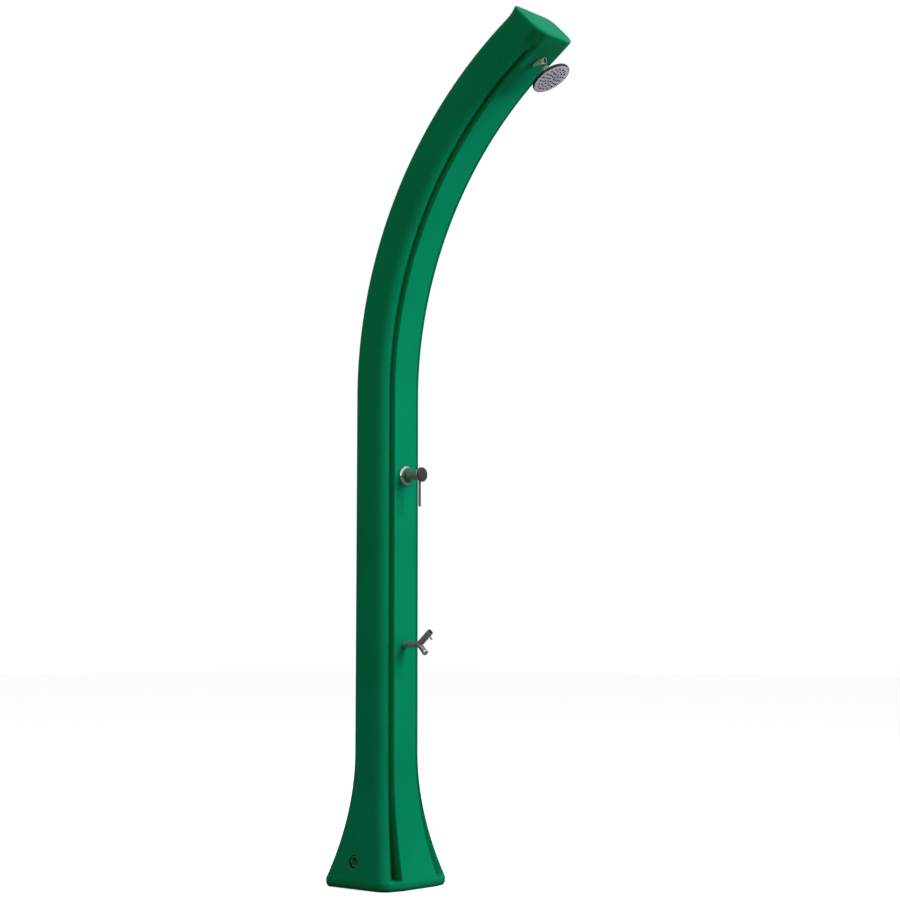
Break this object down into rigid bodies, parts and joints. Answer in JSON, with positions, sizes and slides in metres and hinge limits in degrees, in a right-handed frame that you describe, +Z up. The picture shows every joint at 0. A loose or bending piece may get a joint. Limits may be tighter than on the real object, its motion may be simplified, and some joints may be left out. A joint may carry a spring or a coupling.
{
  "type": "outdoor shower column",
  "caption": "Curved moulded shower column with flared foot, lever mixer, foot-wash tap and swivelling round head on a short arm.",
  "frame": {"origin": "centre of the base on the floor, on the upright column's axis", "axes": "+Z up; the front panel, mixer, tap and head face -Y; +X is the column's left-to-right width"},
  "size_m": [0.2382, 0.6961, 2.1674],
  "materials": {
    "shell_plastic": "satin moulded polyethylene",
    "chrome": "polished",
    "dark_plastic": "gloss",
    "grey_plastic": "satin",
    "black_rubber": "matt",
    "brass": "machined",
    "insert_plastic": "moulded",
    "steel": "brushed",
    "white_plastic": "matt",
    "tube_plastic": "matt"
  },
  "bodies": {
    "column": {"column_shell": "shell_plastic", "anchor_plate": "steel", "clinch_nuts": "steel", "base_screws": "steel", "inlet_socket": "insert_plastic", "inlet_washer": "black_rubber", "inlet_nut": "brass", "feed_tee": "brass", "valve_body": "brass", "valve_nut": "brass", "riser_grommet": "black_rubber", "cold_riser": "tube_plastic", "hot_pickup": "tube_plastic", "shower_riser": "tube_plastic", "riser_tee": "white_plastic", "foot_feed": "tube_plastic", "drain_plug": "dark_plastic", "drain_seal": "black_rubber", "mixer_body": "chrome", "mixer_rear_plug": "brass", "mixer_washer": "black_rubber", "mixer_nut": "brass", "mixer_rose": "chrome", "mixer_sleeve": "white_plastic", "foot_tap_body": "chrome", "foot_tap_washer": "black_rubber", "foot_tap_nut": "brass", "foot_tap_headwork": "brass", "foot_tap_aerator": "chrome", "arm_insert": "brass", "shower_arm": "chrome", "arm_cap": "dark_plastic", "arm_seal": "black_rubber", "ball_stud": "chrome"},
    "mixer_turn": {"mixer_turret": "white_plastic", "mixer_tilt_pin": "steel"},
    "mixer_grip": {"mixer_stem": "steel", "mixer_handle": "chrome", "handle_face": "dark_plastic", "handle_screw": "steel", "mixer_lever": "chrome"},
    "tap_grip": {"foot_tap_spindle": "brass", "foot_tap_handle": "chrome", "foot_tap_cap": "dark_plastic", "foot_tap_pin": "chrome"},
    "poppet": {"valve_poppet": "white_plastic", "valve_spring": "steel"},
    "cup": {"swivel_cup": "white_plastic"},
    "head": {"swivel_nut": "chrome", "head_shell": "chrome", "head_gasket": "black_rubber", "head_plate": "grey_plastic", "nozzles": "black_rubber"}
  },
  "joints": [
    {"name": "mixer_temperature", "type": "hinge", "parent": "column", "child": "mixer_turn", "pos_m": [0, -0.09, 1.036], "axis": [0, -1, 0], "range_deg": [-45, 45]},
    {"name": "mixer_lift", "type": "hinge", "parent": "mixer_turn", "child": "mixer_grip", "pos_m": [0, -0.09, 1.036], "axis": [-1, 0, 0], "range_deg": [0, 20]},
    {"name": "foot_tap_turn", "type": "hinge", "parent": "column", "child": "tap_grip", "pos_m": [0, -0.107, 0.605], "axis": [0, -0.766, 0.6428], "range_deg": [0, 90]},
    {"name": "check_valve_lift", "type": "slide", "parent": "column", "child": "poppet", "axis": [0, 0, 1], "range_m": [0, 0.004], "deforming": ["valve_spring"]},
    {"name": "head_tilt", "type": "hinge", "parent": "column", "child": "cup", "pos_m": [0, -0.52298, 2.01221], "axis": [1, 0, 0], "range_deg": [-18, 18]},
    {"name": "head_spin", "type": "hinge", "parent": "cup", "child": "head", "pos_m": [0, -0.52298, 2.01221], "axis": [0.1495, -0.4778, -0.8656], "continuous": true}
  ]
}
